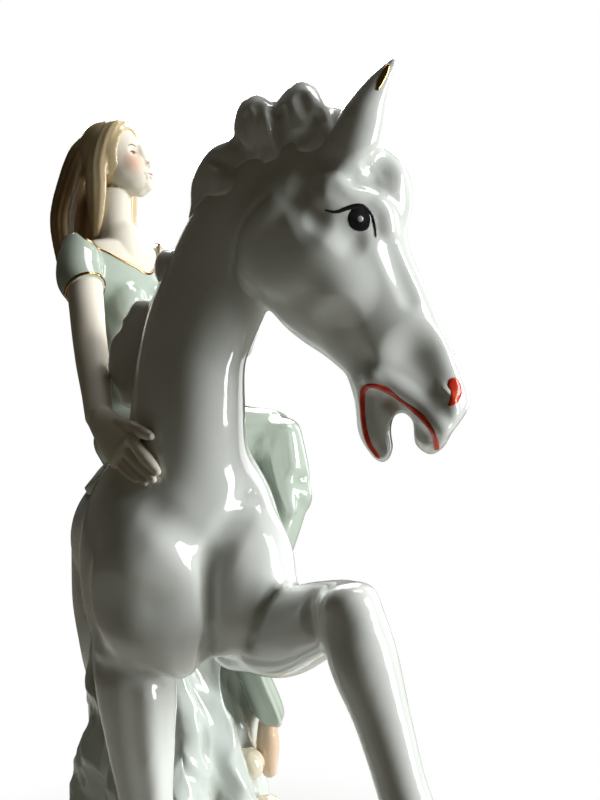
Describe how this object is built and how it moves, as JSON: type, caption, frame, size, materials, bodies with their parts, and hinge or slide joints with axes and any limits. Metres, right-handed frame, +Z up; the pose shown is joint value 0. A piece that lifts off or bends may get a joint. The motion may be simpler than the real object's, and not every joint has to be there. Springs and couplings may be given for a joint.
{
  "type": "porcelain horse and rider figurine",
  "caption": "Glazed porcelain figure group: a prancing horse on a rock and oval plinth, carrying a lady in a pale green gown who sits sideways with a hand on its neck.",
  "frame": {"origin": "middle of the plinth's underside, where the figurine stands", "axes": "+Z up, the horse faces -Y, and its left side is +X"},
  "size_m": [0.1256, 0.2376, 0.2959],
  "materials": {
    "white_glaze": "clear gloss glaze over white porcelain",
    "mint_glaze": "pale celadon green gloss glaze",
    "bisque_skin": "matt unglazed bisque, tinted cream and pink",
    "hair_glaze": "brown and honey underglaze colour below gloss glaze",
    "rock_glaze": "pale green-white gloss glaze with brown wash",
    "blossom_glaze": "cream gloss glaze",
    "shoe_glaze": "peach gloss glaze",
    "gold_lustre": "thin fired gold lustre line",
    "black_enamel": "black on-glaze enamel",
    "red_enamel": "red on-glaze enamel"
  },
  "bodies": {
    "root": {"plinth": "white_glaze", "horse_trunk": "white_glaze", "horse_skull": "white_glaze", "horse_lower_jaw": "white_glaze", "right_ear": "white_glaze", "left_ear": "white_glaze", "horse_neck": "white_glaze", "forelock": "white_glaze", "mane_lock_1": "white_glaze", "mane_lock_2": "white_glaze", "mane_lock_3": "white_glaze", "mane_lock_4": "white_glaze", "mane_lock_5": "white_glaze", "mane_lock_6": "white_glaze", "mane_lock_7": "white_glaze", "mane_lock_8": "white_glaze", "right_foreleg": "white_glaze", "left_foreleg": "white_glaze", "right_hind_leg": "white_glaze", "left_hind_leg": "white_glaze", "tail": "white_glaze", "rider_bodice": "mint_glaze", "right_sleeve": "mint_glaze", "left_sleeve": "mint_glaze", "skirt_lap": "mint_glaze", "skirt_fall": "mint_glaze", "skirt_train": "mint_glaze", "rider_neck": "bisque_skin", "rider_head": "bisque_skin", "right_arm": "bisque_skin", "left_arm": "bisque_skin", "right_hand": "bisque_skin", "left_hand": "bisque_skin", "rider_hair": "hair_glaze", "left_hair_lock": "hair_glaze", "rock_support": "rock_glaze", "front_blossom": "blossom_glaze", "low_blossom": "blossom_glaze", "right_shoe": "shoe_glaze", "left_shoe": "shoe_glaze"}
  },
  "joints": []
}
